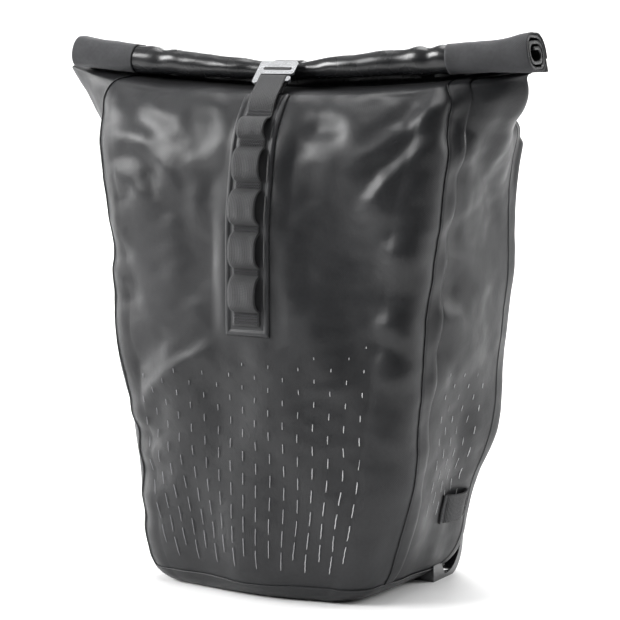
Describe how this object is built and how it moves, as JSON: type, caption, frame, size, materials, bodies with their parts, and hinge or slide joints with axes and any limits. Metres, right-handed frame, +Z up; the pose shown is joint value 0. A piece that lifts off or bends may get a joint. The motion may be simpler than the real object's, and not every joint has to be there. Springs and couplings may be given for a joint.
{
  "type": "roll-top bicycle pannier bag",
  "caption": "Roll-top bicycle pannier bag with a ladder of webbing loops, metal closure hook, latching top hooks on a rail and a swivelling lower stay hook.",
  "frame": {"origin": "middle of the base on the floor", "axes": "+Z up, rack side +Y, decorated front -Y, +X to the right as seen from the front"},
  "size_m": [0.4494, 0.2259, 0.4527],
  "materials": {
    "fabric": "satin coated fabric",
    "board": "matte sheet",
    "moulded": "fine moulded texture",
    "bumper": "glossy",
    "alloy": "anodised",
    "bright_steel": "polished",
    "steel": "zinc plated"
  },
  "bodies": {
    "bag_body": {"back_board": "board", "back_panel": "fabric", "base_panel": "fabric", "base_stiffener": "board", "bumper_rivets": "alloy", "closure_strap_rear": "fabric", "corner_bumper_left": "bumper", "corner_bumper_right": "bumper", "front_panel": "fabric", "gusset_left": "fabric", "gusset_right": "fabric", "hook_rail": "alloy", "ladder_backing": "fabric", "ladder_webbing": "fabric", "light_loop": "fabric", "lower_rail": "moulded", "lower_rail_nuts": "steel", "lower_rail_screws": "steel", "lower_rail_washers": "steel", "mouth_stiffener": "board", "rail_cap_left": "moulded", "rail_cap_right": "moulded", "rail_nuts": "steel", "rail_screws": "steel", "rail_washers": "steel", "roll_closure": "fabric", "strap_anchor": "fabric"},
    "hook_left_body": {"hook_left": "moulded", "latch_pin_left": "steel", "latch_spring_left": "steel", "lock_screw_left": "steel"},
    "hook_right_body": {"hook_right": "moulded", "latch_pin_right": "steel", "latch_spring_right": "steel", "lock_screw_right": "steel"},
    "latch_left_body": {"latch_left": "moulded"},
    "latch_right_body": {"latch_right": "moulded"},
    "handle_body": {"handle_grip": "fabric", "handle_strap_left": "fabric", "handle_strap_right": "fabric"},
    "closure_body": {"closure_hook": "bright_steel", "closure_strap_front": "fabric"},
    "carrier_body": {"stay_carrier": "moulded", "stay_pivot": "steel"},
    "stay_hook_body": {"stay_hook": "moulded"},
    "knob_body": {"stay_knob": "moulded"}
  },
  "joints": [
    {"name": "closure_unhook", "type": "slide", "parent": "bag_body", "child": "closure_body", "axis": [-1, 0, 0], "range_m": [0, 0.034]},
    {"name": "hook_left_slide", "type": "slide", "parent": "bag_body", "child": "hook_left_body", "axis": [1, 0, 0], "range_m": [0, 0.03]},
    {"name": "hook_right_slide", "type": "slide", "parent": "bag_body", "child": "hook_right_body", "axis": [-1, 0, 0], "range_m": [0, 0.03]},
    {"name": "handle_lift", "type": "slide", "parent": "bag_body", "child": "handle_body", "axis": [0, 0, 1], "range_m": [0, 0.006], "stiffness_N_per_m": 200, "springref_m": -0.004},
    {"name": "latch_left_turn", "type": "hinge", "parent": "hook_left_body", "child": "latch_left_body", "pos_m": [-0.075, 0.092, 0.395], "axis": [1, 0, 0], "range_deg": [-25, 0]},
    {"name": "latch_right_turn", "type": "hinge", "parent": "hook_right_body", "child": "latch_right_body", "pos_m": [0.075, 0.092, 0.395], "axis": [1, 0, 0], "range_deg": [-25, 0]},
    {"name": "stay_slide", "type": "slide", "parent": "bag_body", "child": "carrier_body", "axis": [1, 0, 0], "range_m": [-0.028, 0.028]},
    {"name": "stay_swivel", "type": "hinge", "parent": "carrier_body", "child": "stay_hook_body", "pos_m": [0, 0.0963, 0.11], "axis": [0, 1, 0], "range_deg": [-90, 90]},
    {"name": "stay_knob_turn", "type": "hinge", "parent": "carrier_body", "child": "knob_body", "pos_m": [0, 0.103, 0.11], "axis": [0, 1, 0], "range_deg": [-180, 180]}
  ],
  "couplings": [
    {"joint": "latch_left_turn", "follows": "handle_lift", "rad_per_m": -72.7},
    {"joint": "latch_right_turn", "follows": "handle_lift", "rad_per_m": -72.7}
  ]
}
